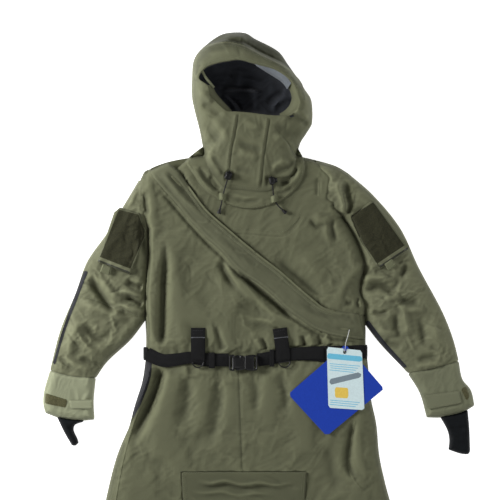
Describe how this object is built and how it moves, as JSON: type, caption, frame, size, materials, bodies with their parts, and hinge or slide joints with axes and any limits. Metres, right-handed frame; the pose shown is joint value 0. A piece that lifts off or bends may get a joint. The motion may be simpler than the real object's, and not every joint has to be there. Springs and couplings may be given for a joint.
{
  "type": "chemical protective suit",
  "caption": "Hooded one-piece laminate protective suit lying on its back, with a diagonal zipper under a storm flap, belt, arm pockets, cuff tabs, wrist seals and socks.",
  "frame": {"origin": "on the resting plane, on the midline under the waist belt", "axes": "+X to the wearer's left, +Y towards the hood, +Z out of the front of the suit that lies on its back"},
  "size_m": [1.0364, 1.9992, 0.1163],
  "materials": {
    "suit_fabric": "matt laminate weave",
    "side_panel_fabric": "dark stretch panel",
    "hood_lining": "brushed tricot",
    "loop_pile": "hook and loop pile",
    "neoprene": "smooth neoprene",
    "webbing": "ribbed webbing",
    "buckle_plastic": "moulded",
    "zipper_tape": "coated tape",
    "zipper_plastic": "moulded teeth",
    "ring_plastic": "moulded",
    "cord": "braided",
    "spring_steel": "drawn wire",
    "card_blue": "printed card in a sleeve",
    "card_pale": "printed card in a sleeve",
    "string": "twisted string",
    "sock_fabric": "laminate sock"
  },
  "bodies": {
    "root": {"arm_pockets": "suit_fabric", "back_panel": "suit_fabric", "belt_keepers": "webbing", "belt_left": "webbing", "belt_loops": "webbing", "belt_right": "webbing", "buckle_socket": "buckle_plastic", "chest_panel_left": "suit_fabric", "chin_panel": "suit_fabric", "collar": "suit_fabric", "collar_keepers": "suit_fabric", "cord_bells": "buckle_plastic", "cuff_left": "suit_fabric", "cuff_right": "suit_fabric", "drawcord_left": "cord", "drawcord_right": "cord", "front_panel_right": "suit_fabric", "hood_back": "suit_fabric", "hood_brim": "suit_fabric", "hood_crown": "suit_fabric", "hood_lining": "hood_lining", "hood_side_left": "suit_fabric", "hood_side_right": "suit_fabric", "knee_patches": "suit_fabric", "leg_left": "suit_fabric", "leg_right": "suit_fabric", "loop_patches": "loop_pile", "lower_front_left": "suit_fabric", "lower_front_right": "suit_fabric", "main_zipper": "zipper_tape", "pocket_zips": "zipper_tape", "relief_zipper": "zipper_tape", "side_gusset_right": "side_panel_fabric", "sleeve_left": "suit_fabric", "sleeve_right": "suit_fabric", "sleeve_stripe_right": "side_panel_fabric", "socks": "sock_fabric", "storm_flap_ends": "suit_fabric", "wrist_seals": "neoprene", "zipper_placket": "suit_fabric"},
    "main_zipper_slider": {"main_zipper_slider": "zipper_plastic"},
    "storm_flap": {"storm_flap": "suit_fabric"},
    "relief_slider": {"relief_slider": "zipper_plastic"},
    "relief_flap": {"relief_flap": "suit_fabric"},
    "pocket_slider_right": {"pocket_slider_right": "zipper_plastic"},
    "pocket_slider_left": {"pocket_slider_left": "zipper_plastic"},
    "cuff_tab_right": {"cuff_tab_right": "suit_fabric"},
    "cuff_tab_left": {"cuff_tab_left": "suit_fabric"},
    "cord_lock_right": {"cord_lock_right": "buckle_plastic", "lock_spring_right": "spring_steel"},
    "cord_lock_left": {"cord_lock_left": "buckle_plastic", "lock_spring_left": "spring_steel"},
    "lock_button_right": {"lock_button_right": "buckle_plastic"},
    "lock_button_left": {"lock_button_left": "buckle_plastic"},
    "d_ring_right": {"d_ring_right": "ring_plastic"},
    "d_ring_left": {"d_ring_left": "ring_plastic"},
    "buckle_plug": {"buckle_plug": "buckle_plastic"},
    "hang_tags": {"blue_card": "card_blue", "pale_card": "card_pale", "tag_string": "string"}
  },
  "joints": [
    {"name": "main_zip_slide", "type": "slide", "parent": "root", "child": "main_zipper_slider", "axis": [-0.7563, 0.6542, 0], "range_m": [0, 0.42]},
    {"name": "storm_flap_hinge", "type": "hinge", "parent": "root", "child": "storm_flap", "pos_m": [0.0107, 0.25006, 0.0382], "axis": [-0.7563, 0.6542, 0], "range_deg": [0, 100]},
    {"name": "relief_zip_slide", "type": "slide", "parent": "root", "child": "relief_slider", "axis": [-1, 0, 0], "range_m": [0, 0.18]},
    {"name": "relief_flap_hinge", "type": "hinge", "parent": "root", "child": "relief_flap", "pos_m": [-0.014, -0.2785, 0.0382], "axis": [-1, 0, 0], "range_deg": [0, 150]},
    {"name": "pocket_zip_right_slide", "type": "slide", "parent": "root", "child": "pocket_slider_right", "axis": [0.931, -0.365, 0], "range_m": [0, 0.04]},
    {"name": "pocket_zip_left_slide", "type": "slide", "parent": "root", "child": "pocket_slider_left", "axis": [0.8359, 0.5489, 0], "range_m": [0, 0.04]},
    {"name": "cuff_tab_right_hinge", "type": "hinge", "parent": "root", "child": "cuff_tab_right", "pos_m": [-0.378, -0.117, 0.0266], "axis": [0, 1, 0], "range_deg": [0, 120]},
    {"name": "cuff_tab_left_hinge", "type": "hinge", "parent": "root", "child": "cuff_tab_left", "pos_m": [0.42, -0.1115, 0.0266], "axis": [0.3081, -0.9513, 0], "range_deg": [0, 120]},
    {"name": "cord_lock_right_slide", "type": "slide", "parent": "root", "child": "cord_lock_right", "axis": [-0.2696, -0.963, 0], "range_m": [0, 0.006]},
    {"name": "cord_lock_left_slide", "type": "slide", "parent": "root", "child": "cord_lock_left", "axis": [0.1414, -0.99, 0], "range_m": [0, 0.005]},
    {"name": "lock_button_right_press", "type": "slide", "parent": "cord_lock_right", "child": "lock_button_right", "axis": [0, 0, -1], "range_m": [0, 0.003], "stiffness_N_per_m": 600, "springref_m": -0.002},
    {"name": "lock_button_left_press", "type": "slide", "parent": "cord_lock_left", "child": "lock_button_left", "axis": [-0.99, -0.1409, 0], "range_m": [0, 0.003], "stiffness_N_per_m": 600, "springref_m": -0.002},
    {"name": "d_ring_right_hinge", "type": "hinge", "parent": "root", "child": "d_ring_right", "pos_m": [-0.124, -0.015, 0.0386], "axis": [-1, 0, 0], "range_deg": [0, 100]},
    {"name": "d_ring_left_hinge", "type": "hinge", "parent": "root", "child": "d_ring_left", "pos_m": [0.08209, -0.01485, 0.0386], "axis": [-0.9903, -0.1392, 0], "range_deg": [0, 100]},
    {"name": "buckle_unclip", "type": "slide", "parent": "root", "child": "buckle_plug", "axis": [1, 0, 0], "range_m": [0, 0.028]},
    {"name": "hang_tag_swing", "type": "hinge", "parent": "root", "child": "hang_tags", "pos_m": [0.237, 0.062, 0.04], "axis": [0, 0, 1], "range_deg": [-10, 15]}
  ]
}
